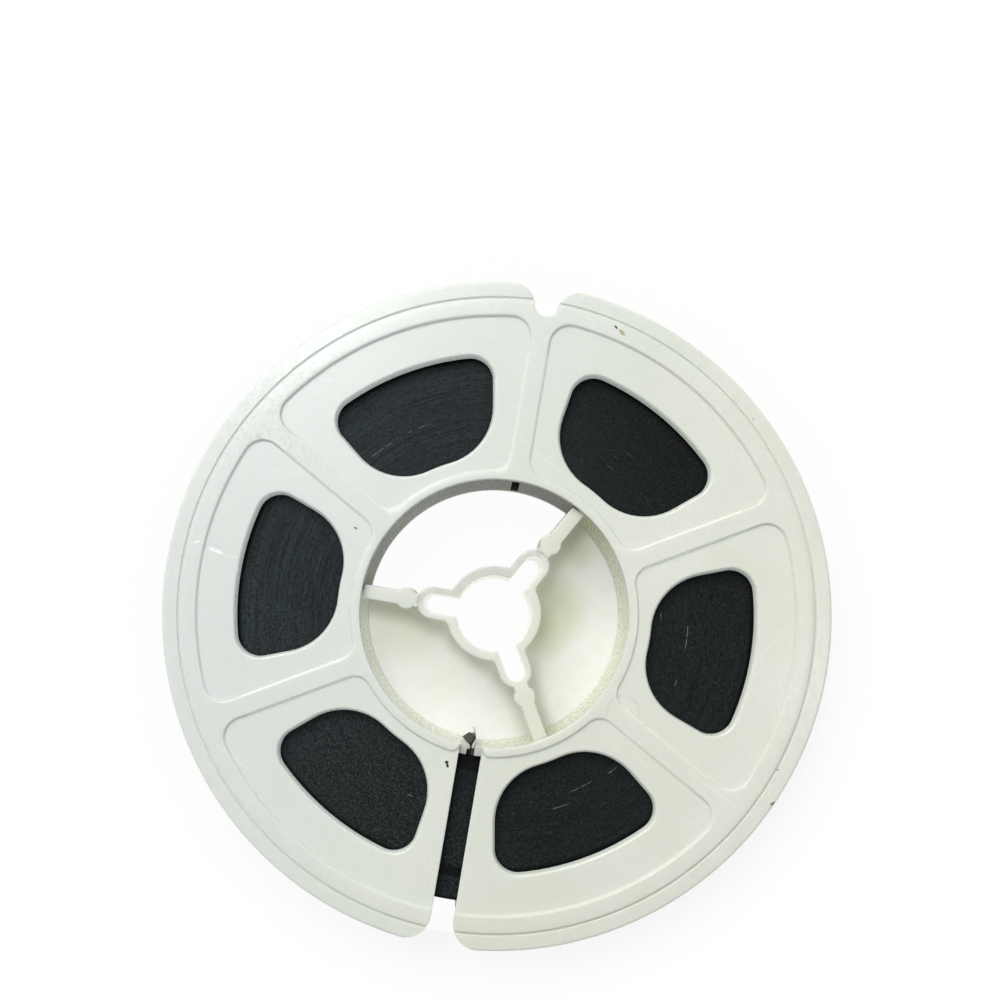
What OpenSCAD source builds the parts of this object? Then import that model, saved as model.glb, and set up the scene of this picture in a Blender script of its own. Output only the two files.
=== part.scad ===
// A small reel for 8 mm cine film, lying flat, wound full.
// +Z is the spindle axis, z = 0 the plane it lies on, and the threading slits lie along -Y.
// Both flanges are the same moulding, one turned over, and the hub is a third piece between them.

/* [Reel] */
// Diameter over the rims of the flanges
reel_d = 76.2; // [74:0.1:90]
// Diameter of the hub opening, and of the inside of the drum
hub_d = 30.6; // [28:0.1:32]

/* [Flange] */
// Thickness of a flange at its rim, its ribs and its hub ring
flange_t = 1.5; // [1.3:0.1:2.5]
// Width of the raised rim, from its edge in to the panels
rim_w = 4.02; // [3.8:0.02:5]
// Width of the sloping lip outside the groove in the rim
lip_w = 1.9; // [1.2:0.1:2.6]
// How far the lip falls from the groove to the edge of the rim
lip_drop = 0.2; // [0.05:0.05:0.4]
// Width of the fine groove round the rim, which is half as deep
groove_w = 0.22; // [0.12:0.02:0.4]
// Radius on both edges of the rim
edge_r = 0.35; // [0.1:0.05:0.5]
// Chamfer round the hub opening
hub_chamfer = 0.3; // [0.1:0.05:0.45]

/* [Panels] */
// How far the panels lie below the rim and the ribs
panel_depth = 0.35; // [0.1:0.05:0.6]
// Width of the ribs between the panels
rib_w = 2.2; // [1.2:0.1:4]
// Width of the raised ring between the hub opening and the panels
hub_ring_w = 1.04; // [0.8:0.02:1.3]
// Corner radius of the panels at the rim
panel_corner_out = 2.3; // [1:0.1:3]
// Corner radius of the panels at the hub, and of the hub ring's ends
panel_corner_in = 2; // [1:0.1:3]
// Corner radius of the hub ring beside the slit
ring_end_r = 0.9; // [0.3:0.05:1]

/* [Windows] */
// Width of the panel between the hub ring and a window
window_in_w = 1.53; // [1.2:0.01:4]
// Width of the panel between a window and the rim
window_out_w = 4.35; // [3:0.05:6]
// Angle from the middle of a window to each of its sides
window_half = 20.5; // [19:0.25:22]
// Corner radius of a window towards the rim
window_corner_out = 2.8; // [1:0.1:4]
// Corner radius of a window towards the hub
window_corner_in = 6.9; // [1:0.1:7.5]

/* [Slit and notch] */
// Width of the threading slit from the hub to the rim
slit_w = 2.58; // [1.6:0.02:5]
// Radius of the slit's corners at the rim
slit_mouth_r = 3; // [1:0.1:5]
// Depth of the finger notch opposite the slit
notch_depth = 3.6; // [2.5:0.1:3.9]
// Radius at the bottom of the notch
notch_root_r = 1.3; // [0.6:0.1:2]
// Radius of the notch's shoulders at the rim
notch_mouth_r = 2.75; // [1.5:0.05:4]

/* [Drum] */
// Thickness of the drum's wall
drum_wall = 1.1; // [0.9:0.1:1.8]
// How deep each end of the drum sits in its flange
seat_depth = 0.5; // [0.2:0.1:0.8]
// Width of the two slots in the drum that hold the film's end
film_slot_w = 0.75; // [0.5:0.05:1.5]

/* [Spindle socket] */
// Diameter of the spindle bore
bore_d = 8.7; // [8.1:0.1:9.6]
// Thickness of the socket's round wall
socket_wall = 1.1; // [0.7:0.1:1.4]
// Width of the three keyways
key_w = 2.2; // [1.4:0.05:2.3]
// Distance from the spindle axis to the end of a keyway
key_reach = 8.2; // [7:0.1:8.4]
// Thickness of the wall round a keyway
key_wall = 0.75; // [0.5:0.05:1.2]
// Radius between the socket and a keyway's wall
socket_fillet = 0.8; // [0.3:0.1:1.2]
// Thickness of the three spokes
spoke_w = 1.6; // [1.2:0.1:2.4]
// Diameter of the round boss on each spoke
boss_d = 2.4; // [2:0.1:3]
// Distance from the spindle axis to a boss
boss_reach = 10.2; // [9.8:0.1:12]
// How far the spokes lie inside each outer face
socket_recess = 1.2; // [0.3:0.1:2.5]
// How far the socket lies below its spokes at both ends
socket_step = 0.2; // [0.05:0.05:0.6]

/* [Film] */
// Width of the film
film_w = 7.98; // [7.7:0.01:8]
// Thickness of the film
film_t = 0.15; // [0.1:0.01:0.16]
// Air between one turn of the film and the next
turn_air = 0.02; // [0.005:0.005:0.03]
// Length of film on the reel
film_length = 15240; // [9000:10:16000]
// How far the film's inner end stands in from the drum's bore
tongue_reach = 2.6; // [1:0.1:4]

/* [Clearances] */
// Gap between the drum's ends and their seats
seat_clear = 0.04; // [0.02:0.01:0.1]
// Gap from the film to the drum and to the flange it lies on
film_clear = 0.05; // [0.02:0.01:0.2]
// Room in all between the film's edges and the two flanges
film_play = 0.62; // [0.3:0.01:1.5]

/* [Hidden] */
$fn = 96;

// How far a cut runs past the face that it opens
past = 1;
// How far a round corner passes the lines that it meets, so that it crosses them cleanly
blend = 0.004;

// Ribs, windows and panels repeat at this step
window_n = 6;
step_a = 360 / window_n;
slit_a = -90;

rim_r = reel_d / 2;
hub_r = hub_d / 2;
// Clear width between the flanges, where the film lies
film_gap = film_w + film_play;
reel_w = film_gap + 2 * flange_t;
drum_r = hub_r + drum_wall;
seat_r = drum_r + seat_clear;
seat_z = flange_t - seat_depth;

groove_r = rim_r - lip_w;
panel_r_out = rim_r - rim_w;
panel_r_in = hub_r + hub_ring_w;
window_r_in = panel_r_in + window_in_w;
window_r_out = panel_r_out - window_out_w;

bore_r = bore_d / 2;
socket_r = bore_r + socket_wall;
lobe_half = key_w / 2 + key_wall;
lobe_x = key_reach - key_w / 2;
spoke_h = reel_w - 2 * socket_recess;
socket_h = spoke_h - 2 * socket_step;
// How far a spoke runs into the wall of its keyway
spoke_lap = 0.1;
key_n = 3;
key_a = slit_a + step_a / 2;

// The turns lie a pitch apart, so the length of film gives the radius of the pack
turn_pitch = film_t + turn_air;
film_z = flange_t + film_clear;
pack_r_in = drum_r + film_clear;
pack_r_out = sqrt(pow(pack_r_in, 2) + film_length * turn_pitch / PI);
pack_core_r = pack_r_out - turn_pitch;

// The outermost turn starts and ends behind this rib, a few degrees to either side of it
turn_rib = 4;
turn_open = 12;
turn_start = slit_a + turn_rib * step_a + turn_open / 2;
turn_sweep = 360 - turn_open;
turn_steps = 96;

// A ring between two radii
module ring(r_in, r_out) {
    difference() {
        circle(r = r_out);
        circle(r = r_in);
    }
}

// Centre of a corner circle of radius c at distance d from the axis, which touches
// a side that lies gap in from the ray at angle half
function corner_at(d, half, gap, c) =
    let (in = gap + c, along = sqrt(d * d - in * in))
    [along * cos(half) + in * sin(half), along * sin(half) - in * cos(half)];

// What a round corner takes away from a sharp one between radius r and a side,
// where out is 1 at the outer arc and -1 at the inner one
module corner_waste(r, half, gap, c, out) {
    far = r + out * 2 * c;
    centre = corner_at(r - out * c, half, gap, c);
    square_off = [-sin(half), cos(half)];
    side = centre + 2 * c * square_off;
    beyond = centre * far / norm(centre);
    difference() {
        polygon([centre, side, side + beyond - centre, beyond]);
        translate(centre)
            circle(r = c + blend);
    }
}

// A field between two radii and two sides, with its middle on +X. The sides lie gap in
// from rays at half to either side, and the corners have radii c_in and c_out.
module field(r_in, r_out, half, gap, c_in, c_out) {
    reach = 2 * r_out / cos(half);
    apex = gap / sin(half);
    difference() {
        intersection() {
            ring(r_in, r_out);
            polygon([
                [apex, 0],
                [apex + reach * cos(half), reach * sin(half)],
                [apex + reach * cos(half), -reach * sin(half)],
            ]);
        }
        for (side = [0, 1])
            mirror([0, side]) {
                corner_waste(r_out, half, gap, c_out, 1);
                corner_waste(r_in, half, gap, c_in, -1);
            }
    }
}

// One window
module window() {
    field(
        window_r_in,
        window_r_out,
        window_half,
        0,
        window_corner_in,
        window_corner_out
    );
}

// A panel that spans the given number of windows
module panel(span) {
    field(
        panel_r_in,
        panel_r_out,
        span * step_a / 2,
        rib_w / 2,
        panel_corner_in,
        panel_corner_out
    );
}

// A cut through the rim along +X, of the given half width, whose mouth widens in round
// shoulders. The shoulder's centre is given, and it touches the edge of the rim.
module mouth(shoulder, shoulder_r, root_x) {
    outside = shoulder * (rim_r + past) / norm(shoulder);
    difference() {
        polygon([
            [root_x, 0],
            shoulder,
            outside,
            [outside.x, -outside.y],
            [shoulder.x, -shoulder.y],
        ]);
        for (side = [-1, 1])
            translate([shoulder.x, side * shoulder.y])
                circle(r = shoulder_r + blend);
    }
}

// The threading slit, along +X
module slit() {
    y = slit_w / 2 + slit_mouth_r;
    x = sqrt(pow(rim_r - slit_mouth_r, 2) - y * y);
    translate([hub_r / 2, -slit_w / 2])
        square([rim_r, slit_w]);
    mouth([x, y], slit_mouth_r, x);
}

// The finger notch, along +X: a round bottom that runs on into round shoulders
module notch() {
    root_x = rim_r - notch_depth + notch_root_r;
    reach = rim_r - notch_mouth_r;
    apart = notch_root_r + notch_mouth_r;
    x = (root_x * root_x + reach * reach - apart * apart) / (2 * root_x);
    y = sqrt(reach * reach - x * x);
    translate([root_x, 0])
        circle(r = notch_root_r);
    mouth([x, y], notch_mouth_r, root_x);
}

// What rounds off the hub ring's two ends beside the slit, along +X
module ring_ends() {
    for (side = [0, 1])
        mirror([0, side])
            corner_waste(panel_r_in, 0, slit_w / 2, ring_end_r, 1);
}

// Section of a flange, from the hub opening to the rim. z = 0 is its film side.
module flange_section() {
    lip_z = flange_t - lip_drop;
    difference() {
        union() {
            polygon([
                [hub_r, seat_depth],
                [seat_r, seat_depth],
                [seat_r, 0],
                [rim_r - edge_r, 0],
                [rim_r, edge_r],
                [rim_r, lip_z - edge_r],
                [rim_r - edge_r, lip_z],
                [groove_r, flange_t],
                [hub_r + hub_chamfer, flange_t],
                [hub_r, flange_t - hub_chamfer],
            ]);
            for (z = [edge_r, lip_z - edge_r])
                translate([rim_r - edge_r, z])
                    circle(r = edge_r, $fn = 24);
        }
        translate([groove_r, flange_t])
            circle(r = groove_w / 2, $fn = 24);
    }
}

// One flange, with its film side on z = 0 and its panels up
module flange() {
    difference() {
        rotate_extrude()
            flange_section();
        // Recessed panels, of which one spans both sides of the slit
        translate([0, 0, flange_t - panel_depth])
            linear_extrude(panel_depth + past) {
                for (k = [1:window_n - 2])
                    rotate(slit_a + (k + 0.5) * step_a)
                        panel(1);
                rotate(slit_a) {
                    panel(2);
                    ring_ends();
                }
            }
        // Windows, slit and notch
        translate([0, 0, -past])
            linear_extrude(flange_t + 2 * past) {
                for (k = [0:window_n - 1])
                    rotate(slit_a + (k + 0.5) * step_a)
                        window();
                rotate(slit_a)
                    slit();
                rotate(slit_a + 180)
                    notch();
            }
    }
}

module front_flange() {
    color([0.91, 0.92, 0.87])
        translate([0, 0, flange_t + film_gap])
            flange();
}

module rear_flange() {
    color([0.87, 0.89, 0.83])
        translate([0, 0, flange_t])
            mirror([0, 0, 1])
                flange();
}

// Outline of one keyway, or of the wall round it, along +X
module lobe(half) {
    translate([0, -half])
        square([lobe_x, 2 * half]);
    translate([lobe_x, 0])
        circle(r = half + blend);
}

// Fillets between the round socket and the walls of a keyway
module lobe_fillets() {
    y = lobe_half + socket_fillet;
    x = sqrt(pow(socket_r + socket_fillet, 2) - y * y);
    touch = [x, y] * (socket_r - socket_wall / 2) / (socket_r + socket_fillet);
    for (side = [0, 1])
        mirror([0, side])
            difference() {
                polygon([[x, y], touch, [touch.x, key_w / 2 + key_wall / 2], [x, lobe_half - key_wall / 2]]);
                translate([x, y])
                    circle(r = socket_fillet + blend);
            }
}

// Plan of the keyed socket
module socket() {
    difference() {
        union() {
            circle(r = socket_r);
            for (k = [0:key_n - 1])
                rotate(key_a + k * 360 / key_n) {
                    lobe(lobe_half);
                    lobe_fillets();
                }
        }
        circle(r = bore_r);
        for (k = [0:key_n - 1])
            rotate(key_a + k * 360 / key_n)
                lobe(key_w / 2);
    }
}

// Plan of the three spokes and their bosses, from the keyways' walls to the drum's
module spokes() {
    for (k = [0:key_n - 1])
        rotate(key_a + k * 360 / key_n)
            difference() {
                union() {
                    translate([lobe_x, -spoke_w / 2])
                        square([hub_r + drum_wall / 2 - lobe_x, spoke_w]);
                    translate([boss_reach, 0])
                        circle(d = boss_d);
                }
                translate([lobe_x, 0])
                    circle(r = lobe_half - spoke_lap);
            }
}

// The drum with its film slots, and the keyed socket carried in it on three spokes
module hub_core() {
    drum_z = seat_z + seat_clear;
    drum_h = reel_w - 2 * drum_z;
    color([0.89, 0.9, 0.83]) {
        difference() {
            translate([0, 0, drum_z])
                linear_extrude(drum_h)
                    ring(hub_r, drum_r);
            // The slot at the slit is open at both ends, so that film drops in from the side
            rotate(slit_a)
                translate([hub_r / 2, -film_slot_w / 2, 0])
                    cube([hub_r, film_slot_w, reel_w]);
            rotate(slit_a + 180)
                translate([hub_r / 2, -film_slot_w / 2, flange_t])
                    cube([hub_r, film_slot_w, film_gap]);
        }
        translate([0, 0, socket_recess + socket_step])
            linear_extrude(socket_h)
                socket();
        translate([0, 0, socket_recess])
            linear_extrude(spoke_h)
                spokes();
    }
}

// All turns but the outermost, as one ring
module film_pack() {
    color([0.14, 0.15, 0.16])
        translate([0, 0, film_z])
            linear_extrude(film_w)
                ring(pack_r_in, pack_core_r);
}

// Point on the outermost turn, which leaves the pack and climbs a pitch in a full turn
function turn_r(a) = pack_core_r + turn_air / 2 + turn_air / 2 * (a / turn_sweep);
function turn_point(a, r) = r * [cos(turn_start + a), sin(turn_start + a)];

// The outermost turn, one strip from the pack to its free end
module film_outer_turn() {
    angles = [for (i = [0:turn_steps]) i * turn_sweep / turn_steps];
    inside = [for (a = angles) turn_point(a, turn_r(a))];
    outside = [for (i = [turn_steps:-1:0]) turn_point(angles[i], turn_r(angles[i]) + film_t)];
    // Least distance between points of the strip more than a quarter turn apart
    quarter = turn_steps / 4;
    gaps = [
        for (i = [0:turn_steps - quarter - 1], j = [i + quarter + 1:turn_steps])
            norm(outside[turn_steps - i] - inside[j])
    ];
    echo(least_gap_of_outer_turn_mm = min(gaps));
    color([0.11, 0.12, 0.13])
        translate([0, 0, film_z])
            linear_extrude(film_w)
                polygon(concat(inside, outside));
}

// The film's inner end, which passes the drum's slot and stands torn in the hub
module film_inner_end() {
    inner_x = hub_r - tongue_reach;
    shoulder = film_w * 0.55;
    color([0.13, 0.14, 0.15])
        rotate(slit_a)
            translate([0, film_t / 2, film_z])
                rotate([90, 0, 0])
                    linear_extrude(film_t)
                        polygon([
                            [inner_x + tongue_reach / 2, 0],
                            [drum_r, 0],
                            [drum_r, film_w],
                            [hub_r - tongue_reach / 3, film_w],
                            [inner_x + tongue_reach / 3, film_w - film_w / 12],
                            [inner_x, film_w - film_w / 6],
                            [inner_x + tongue_reach / 6, shoulder],
                            [inner_x + tongue_reach / 12, shoulder / 2],
                        ]);
}

front_flange();
rear_flange();
hub_core();
film_pack();
film_outer_turn();
film_inner_end();
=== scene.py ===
"""Dresses the film reel: two moulded flanges on a spoked hub, and the film wound between them."""

import math
import random

import bmesh
import bpy
from mathutils import Matrix, Vector


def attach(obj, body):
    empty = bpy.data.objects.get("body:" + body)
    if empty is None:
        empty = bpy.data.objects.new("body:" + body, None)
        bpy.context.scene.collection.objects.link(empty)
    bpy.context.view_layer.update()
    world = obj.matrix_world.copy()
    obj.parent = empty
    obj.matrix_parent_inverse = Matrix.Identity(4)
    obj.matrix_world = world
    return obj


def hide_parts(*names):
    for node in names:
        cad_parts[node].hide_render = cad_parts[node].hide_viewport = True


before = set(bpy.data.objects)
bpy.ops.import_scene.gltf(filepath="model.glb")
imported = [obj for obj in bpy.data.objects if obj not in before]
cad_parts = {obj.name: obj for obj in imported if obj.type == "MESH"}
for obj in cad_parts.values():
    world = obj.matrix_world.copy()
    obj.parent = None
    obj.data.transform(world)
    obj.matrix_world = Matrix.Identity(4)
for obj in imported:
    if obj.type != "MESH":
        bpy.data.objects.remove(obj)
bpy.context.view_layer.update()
MM = 0.001

# Sizes of the reel in millimetres, as its source has them
REEL_D = 76.2
HUB_D = 30.6
FLANGE_T = 1.5
RIM_W = 4.02
LIP_W = 1.9
LIP_DROP = 0.2
EDGE_R = 0.35
PANEL_DEPTH = 0.35
RIB_W = 2.2
HUB_RING_W = 1.04
PANEL_CORNER_OUT = 2.3
PANEL_CORNER_IN = 2.0
RING_END_R = 0.9
WINDOW_IN_W = 1.53
WINDOW_OUT_W = 4.35
WINDOW_HALF = 20.5
WINDOW_CORNER_OUT = 2.8
WINDOW_CORNER_IN = 6.9
SLIT_W = 2.58
SLIT_MOUTH_R = 3.0
NOTCH_DEPTH = 3.6
NOTCH_ROOT_R = 1.3
NOTCH_MOUTH_R = 2.75
DRUM_WALL = 1.1
SEAT_DEPTH = 0.5
SEAT_CLEAR = 0.04
BORE_D = 8.7
SOCKET_WALL = 1.1
KEY_W = 2.2
KEY_REACH = 8.2
KEY_WALL = 0.75
SOCKET_FILLET = 0.8
SOCKET_RECESS = 1.2
SOCKET_STEP = 0.2
SPOKE_W = 1.6
SPOKE_LAP = 0.1
BOSS_D = 2.4
BOSS_X = 10.2
FILM_W = 7.98
FILM_T = 0.15
FILM_CLEAR = 0.05
FILM_PLAY = 0.62
TURN_AIR = 0.02
# Radius under the last turn, which the source works out from the film's length
PACK_R_CORE = 32.925

# What follows from them
RIM_R = REEL_D / 2
HUB_R = HUB_D / 2
REEL_W = FILM_W + FILM_PLAY + 2 * FLANGE_T
DRUM_R = HUB_R + DRUM_WALL
DRUM_FOOT = FLANGE_T - SEAT_DEPTH + SEAT_CLEAR
SEAT_R = DRUM_R + SEAT_CLEAR
GROOVE_R = RIM_R - LIP_W
PANEL_R_IN = HUB_R + HUB_RING_W
PANEL_R_OUT = RIM_R - RIM_W
WINDOW_R_IN = PANEL_R_IN + WINDOW_IN_W
WINDOW_R_OUT = PANEL_R_OUT - WINDOW_OUT_W
BORE_R = BORE_D / 2
SOCKET_R = BORE_R + SOCKET_WALL
KEY_HALF = KEY_W / 2
LOBE_X = KEY_REACH - KEY_HALF
LOBE_HALF = KEY_HALF + KEY_WALL
SPOKE_HALF = SPOKE_W / 2
SPOKE_FOOT = SOCKET_RECESS
SPOKE_TOP = REEL_W - SOCKET_RECESS
SPOKE_END = HUB_R + DRUM_WALL / 2
BOSS_R = BOSS_D / 2
FILM_Z = FLANGE_T + FILM_CLEAR
PACK_R_IN = DRUM_R + FILM_CLEAR

# Sizes of the dressed pieces alone. Their groove and film slots are a little wider than the source's
GROOVE_W = 0.24
GROOVE_DEPTH = 0.12
GROOVE_LIP_R = 0.1
GROOVE_INNER_R = 0.14
FILM_SLOT_W = 0.9
STEP_SLOPE = 61.0
STEP_SOFT = 0.13
WINDOW_DRAFT = 0.16
WINDOW_EDGE_R = 0.26
CUT_EDGE_R = 0.12
NOTCH_EDGE_R = 0.2
HUB_EDGE_R = 0.12
DRUM_EDGE_R = 0.08
SOCKET_EDGE_R = 0.16
SPOKE_EDGE_R = 0.14
BORE_EDGE_R = 0.08
KEY_CORNER_R = 0.3
HUB_BULGE = 0.12
# The rim falls away a little towards its edge
CROWN_R = 34.5
CROWN_DROP = 0.055
# Perforations, one to each frame of film
FRAMES = 52
HOLE_W = 1.27
HOLE_H = 1.83
HOLE_CORNER_R = 0.25
HOLE_MARGIN = 0.9

# Directions round the reel in degrees, from +X towards +Y
SLIT_A = -90.0
STEP_A = 60.0
KEY_A = -60.0
KEY_STEP_A = 120.0
LAST_TURN_START = 156.0
LAST_TURN_SWEEP = 348.0

# How far cutters run past what they cut, and how far round corners pass tangent lines
PAST = 1.0
BLEND = 0.004
# How a recess's cutter widens above the face, so that it leaves no thin skin
FLARE = 0.02
FLARE_RISE = 0.003

# Points that lie this close are one point, in metres
SAME_POINT = 1e-7
SAME_EDGE = 2e-7
SAME_FRAME_END = 1e-6

# Steps round the flanges and the drum, and the angle up to which film is shaded smooth
FLANGE_STEPS = 300
DRUM_STEPS = 240
FILM_SMOOTH_A = 30.0


def deselect():
    """Leaves edit mode and selects nothing."""
    if bpy.context.object and bpy.context.object.mode != "OBJECT":
        bpy.ops.object.mode_set(mode="OBJECT")
    bpy.ops.object.select_all(action="DESELECT")


def take(piece):
    """Selects one piece alone and makes it the active one."""
    deselect()
    piece.select_set(True)
    bpy.context.view_layer.objects.active = piece


def edit_all():
    """Goes into edit mode with everything selected."""
    bpy.ops.object.mode_set(mode="EDIT")
    bpy.ops.mesh.select_all(action="SELECT")


def apply(piece, kind, **values):
    """Adds a modifier with these values and applies it."""
    take(piece)
    modifier = piece.modifiers.new(kind.title(), kind)
    for name, value in values.items():
        setattr(modifier, name, value)
    bpy.ops.object.modifier_apply(modifier=modifier.name)


def polar(radius, angle):
    """Point at this radius and angle in degrees."""
    turn = math.radians(angle)
    return (radius * math.cos(turn), radius * math.sin(turn))


def arc(centre, radius, start, end, steps, last=True):
    """Points on an arc between two angles in degrees."""
    points = []
    for i in range(steps + 1 if last else steps):
        x, y = polar(radius, start + (end - start) * i / steps)
        points.append((centre[0] + x, centre[1] + y))
    return points


def mirrored(points):
    """The same points on the other side of the X axis, in reverse order."""
    return [(x, -y) for x, y in reversed(points)]


def turned(points, angle):
    """The points turned about the axis by an angle in degrees."""
    c = math.cos(math.radians(angle))
    s = math.sin(math.radians(angle))
    return [(x * c - y * s, x * s + y * c) for x, y in points]


def place_key(point):
    """A place rounded so that points which coincide compare equal."""
    return tuple(round(value * 1e8) for value in point)


def lofted(name, rings):
    """A closed solid through rings of points in millimetres, all with as many points."""
    rings = [[Vector(point) * MM for point in ring] for ring in rings]
    deselect()
    bpy.ops.mesh.primitive_circle_add(vertices=len(rings[0]), radius=0.01, fill_type="NGON")
    piece = bpy.context.object
    piece.name = name
    for vertex, point in zip(piece.data.vertices, rings[0]):
        vertex.co = point
    edit_all()
    for below, above in zip(rings, rings[1:]):
        bpy.ops.mesh.extrude_region_move()
        places = {place_key(a): b for a, b in zip(below, above)}
        work = bmesh.from_edit_mesh(piece.data)
        for vertex in work.verts:
            if vertex.select:
                vertex.co = places[place_key(vertex.co)]
        bmesh.update_edit_mesh(piece.data)
    bpy.ops.mesh.select_all(action="SELECT")
    bpy.ops.mesh.normals_make_consistent(inside=False)
    deselect()
    return piece


def spun(name, section, steps):
    """A ring turned from a closed section of (radius, height) points in millimetres."""
    deselect()
    bpy.ops.mesh.primitive_circle_add(vertices=len(section), radius=0.01)
    piece = bpy.context.object
    piece.name = name
    for vertex, (radius, height) in zip(piece.data.vertices, section):
        vertex.co = Vector((radius, 0, height)) * MM
    edit_all()
    bpy.ops.mesh.spin(
        steps=steps, angle=math.tau, center=(0, 0, 0), axis=(0, 0, 1), use_auto_merge=True
    )
    bpy.ops.mesh.select_all(action="SELECT")
    bpy.ops.mesh.remove_doubles(threshold=SAME_POINT)
    bpy.ops.mesh.normals_make_consistent(inside=False)
    deselect()
    return piece


def joined(pieces):
    """Several pieces made one object, without merging their shapes."""
    take(pieces[0])
    for piece in pieces[1:]:
        piece.select_set(True)
    bpy.ops.object.join()
    return bpy.context.object


def shape_with(piece, tool, operation):
    """Cuts, or adds, the tool from a piece, and removes the tool."""
    apply(piece, "BOOLEAN", operation=operation, solver="EXACT", object=tool)
    bpy.data.objects.remove(tool)


def soften(piece, angle=32):
    """Smooth shading over the rounded edges, with flat faces kept flat."""
    take(piece)
    edit_all()
    bpy.ops.mesh.remove_doubles(threshold=SAME_EDGE)
    bpy.ops.mesh.normals_make_consistent(inside=False)
    deselect()
    take(piece)
    bpy.ops.object.shade_smooth_by_angle(angle=math.radians(angle))
    apply(piece, "WEIGHTED_NORMAL", keep_sharp=True, weight=80)


def upper_edge(radius):
    """How a cutter widens where it leaves the upper face: (growth, height from that face)."""
    rings = []
    for angle in range(0, 96, 16):
        turn = math.radians(angle)
        rings.append((radius * (1 - math.cos(turn)), radius * (math.sin(turn) - 1)))
    wide = radius * 0.95
    return rings + [(wide, radius * 0.01), (wide, PAST)]


def lower_edge(radius):
    """The same at the lower face."""
    return [(grow, -height) for grow, height in reversed(upper_edge(radius))]


def through_cutter(name, outline, top_of, edges, angle, draft=0.0):
    """A cutter through a flange. outline(grow) gives its points, top_of(x, y) the face's height."""
    top_r, foot_r = edges
    rings = []
    for grow, height in lower_edge(foot_r):
        points = turned(outline(grow - draft), angle)
        rings.append([(x, y, height) for x, y in points])
    for grow, height in upper_edge(top_r):
        points = turned(outline(grow), angle)
        rings.append([(x, y, top_of(x, y) + height) for x, y in points])
    return lofted(name, rings)


def recess_cutter(name, outline, floor, top, angle):
    """A cutter for a recess whose sides slope, with a fillet at the foot and a rounded edge."""
    slope = math.radians(STEP_SLOPE)
    rise = top - floor
    soft = STEP_SOFT * math.tan(slope / 2)
    half = rise / math.tan(slope) / 2
    rings = []
    for step in (0.0, 0.34, 0.67, 1.0):
        turn = slope * step
        grow = -half - soft + STEP_SOFT * math.sin(turn)
        rings.append((grow, floor + STEP_SOFT * (1 - math.cos(turn))))
    for step in (1.0, 0.7, 0.4, 0.15):
        turn = slope * step
        grow = half + soft - STEP_SOFT * math.sin(turn)
        rings.append((grow, top - STEP_SOFT * (1 - math.cos(turn))))
    wide = rings[-1][0] + FLARE
    rings += [(wide, top + FLARE_RISE), (wide, top + PAST)]
    placed = []
    for grow, height in rings:
        placed.append([(x, y, height) for x, y in turned(outline(grow), angle)])
    return lofted(name, placed)


def corner_at(distance, half, gap, radius):
    """Centre of a round corner at a distance from the axis, touching a side gap in from a ray."""
    inward = gap + radius
    along = math.sqrt(distance * distance - inward * inward)
    c = math.cos(math.radians(half))
    s = math.sin(math.radians(half))
    return (along * c + inward * s, along * s - inward * c)


def angle_of(point):
    """Direction of a point from the axis in degrees."""
    return math.degrees(math.atan2(point[1], point[0]))


def field(r_in, r_out, half, gap, c_in, c_out, steps, grow, ring_end=False):
    """Outline between two radii and two sides with round corners, its middle on +X."""
    r_in = r_in - grow
    r_out = r_out + grow
    gap = gap - grow
    c_in = c_in + grow
    c_out = c_out + grow
    outer = corner_at(r_out - c_out, half, gap, c_out)
    inner = corner_at(r_in + c_in, half, gap, c_in)
    far = angle_of(outer)
    near = angle_of(inner)
    side = half + 90
    points = arc((0, 0), r_out, 0, far, steps, last=False)
    points += arc(outer, c_out, far, side, 14)
    points += arc(inner, c_in, side, near + 180, 12, last=False)
    if ring_end:
        # The hub ring's end beside the slit is round
        end_r = RING_END_R - grow
        end = corner_at(PANEL_R_IN - RING_END_R, 0, SLIT_W / 2, RING_END_R)
        end = (end[0], -end[1])
        points += arc((0, 0), r_in, near, angle_of(end), steps, last=False)
        points += arc(end, end_r, angle_of(end), -90, 10)
        return points + mirrored(points)[:-1]
    points += arc((0, 0), r_in, near, 0, steps // 2)
    return points + mirrored(points)[1:-1]


def window(grow):
    """Outline of one window."""
    corners = (WINDOW_CORNER_IN, WINDOW_CORNER_OUT)
    return field(WINDOW_R_IN, WINDOW_R_OUT, WINDOW_HALF, 0, *corners, 14, grow)


def panel(grow, half=STEP_A / 2, steps=26, ring_end=False):
    """Outline of the panel round one window."""
    corners = (PANEL_CORNER_IN, PANEL_CORNER_OUT)
    return field(PANEL_R_IN, PANEL_R_OUT, half, RIB_W / 2, *corners, steps, grow, ring_end)


def double_panel(grow):
    """Outline of the panel that spans the slit and the windows on both sides of it."""
    return panel(grow, STEP_A, 52, True)


def outside(centre):
    """Point beyond the rim in the direction of a shoulder's centre."""
    return polar(RIM_R + PAST, angle_of(centre))


def slit(grow):
    """Outline of the threading slit, along +X, with its rounded mouth."""
    y = SLIT_W / 2 + SLIT_MOUTH_R
    x = math.sqrt((RIM_R - SLIT_MOUTH_R) ** 2 - y * y)
    half = SLIT_W / 2 + grow
    shoulder = (x, y)
    steps = 40
    start = HUB_R / 2
    points = [outside(shoulder)]
    points += arc(shoulder, SLIT_MOUTH_R - grow + BLEND, angle_of(shoulder), -90, 20)
    points[-1] = (x, half)
    points += [(x + (start - x) * (i + 1) / steps, half) for i in range(steps)]
    return points + mirrored(points)


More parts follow.
